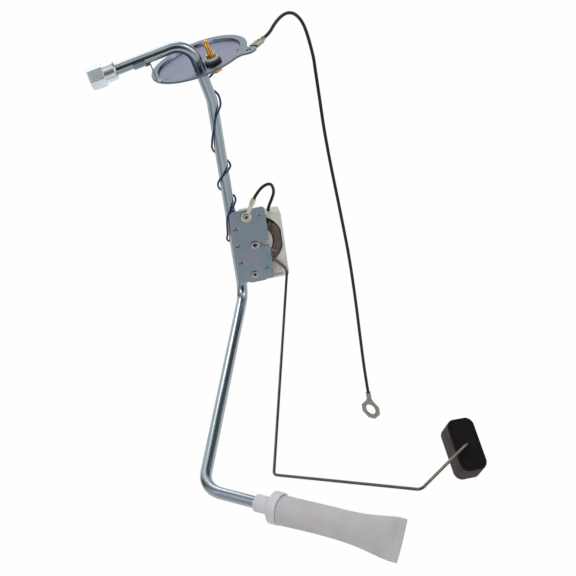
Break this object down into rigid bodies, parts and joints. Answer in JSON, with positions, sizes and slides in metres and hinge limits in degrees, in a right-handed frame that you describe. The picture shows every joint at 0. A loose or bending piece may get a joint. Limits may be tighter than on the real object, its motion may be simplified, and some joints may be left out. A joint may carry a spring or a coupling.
{
  "type": "fuel level sender",
  "caption": "Fuel tank sender: round flange with insulated stud, bent pickup tube with woven strainer, resistor sender with float arm and block float, and a ground lead.",
  "frame": {"origin": "centre of the flange plate's flat underside", "axes": "+Z along the plate's normal, out of the tank; +X away from the outlet nut; -Y the side that the resistor bracket faces"},
  "size_m": [0.2169, 0.4049, 0.4547],
  "materials": {
    "zinc_plate": "zinc-plated sheet steel with a faint blue and violet passivation",
    "zinc_tube": "bright zinc-plated steel, semi-gloss",
    "zinc_nut": "zinc-plated steel, turned",
    "braze": "brazed fillet, plated over",
    "brass": "bright brass",
    "nylon_white": "natural white nylon, slightly translucent",
    "rubber_black": "black nitrile rubber, dull",
    "moulded_black": "black moulded insulator",
    "tinned_terminal": "tinned brass, satin",
    "blue_insulation": "dark blue wire insulation",
    "black_insulation": "black wire insulation, semi-gloss",
    "resistance_winding": "fine resistance wire wound on a card, brown",
    "rivet_steel": "plated steel, satin",
    "spring_bronze": "phosphor bronze strip",
    "arm_steel": "bright steel wire",
    "float_nitrile": "closed-cell black float rubber, matt",
    "sock_mesh": "white woven strainer mesh"
  },
  "bodies": {
    "sender_body": {"flange_plate": "zinc_plate", "braze_ring": "braze", "fuel_tube": "zinc_tube", "tube_clip": "zinc_tube", "stud_gasket": "rubber_black", "insulator_washer": "nylon_white", "stud_nut": "brass", "terminal_stud": "brass", "lower_insulator": "moulded_black", "signal_terminal": "tinned_terminal", "lower_nut": "brass", "signal_wire": "blue_insulation", "sender_bracket": "zinc_plate", "sender_housing": "nylon_white", "resistor_card": "resistance_winding", "resistor_clip": "tinned_terminal", "upper_rivet": "rivet_steel", "lower_rivet": "rivet_steel", "pivot_bushing": "rivet_steel", "jumper_terminal": "tinned_terminal", "jumper_wire": "black_insulation", "filter_collar": "nylon_white", "filter_sock": "sock_mesh", "spade_connector": "tinned_terminal", "ground_lead": "black_insulation", "ring_terminal": "tinned_terminal"},
    "outlet_nut": {"tube_nut": "zinc_nut"},
    "float_arm": {"arm_wire": "arm_steel", "rotor": "nylon_white", "wiper_contact": "spring_bronze"},
    "float": {"float_block": "float_nitrile"}
  },
  "joints": [
    {"name": "arm_pivot", "type": "hinge", "parent": "sender_body", "child": "float_arm", "pos_m": [-0.0137, -0.02506, -0.16854], "axis": [0, -1, 0], "range_deg": [0, 64]},
    {"name": "float_spin", "type": "hinge", "parent": "float_arm", "child": "float", "pos_m": [0.08488, -0.29121, -0.25233], "axis": [0.3584, -0.5416, 0.7604], "continuous": true},
    {"name": "nut_spin", "type": "hinge", "parent": "sender_body", "child": "outlet_nut", "pos_m": [-0.084, -0.02, 0.027], "axis": [1, 0, 0], "continuous": true}
  ]
}
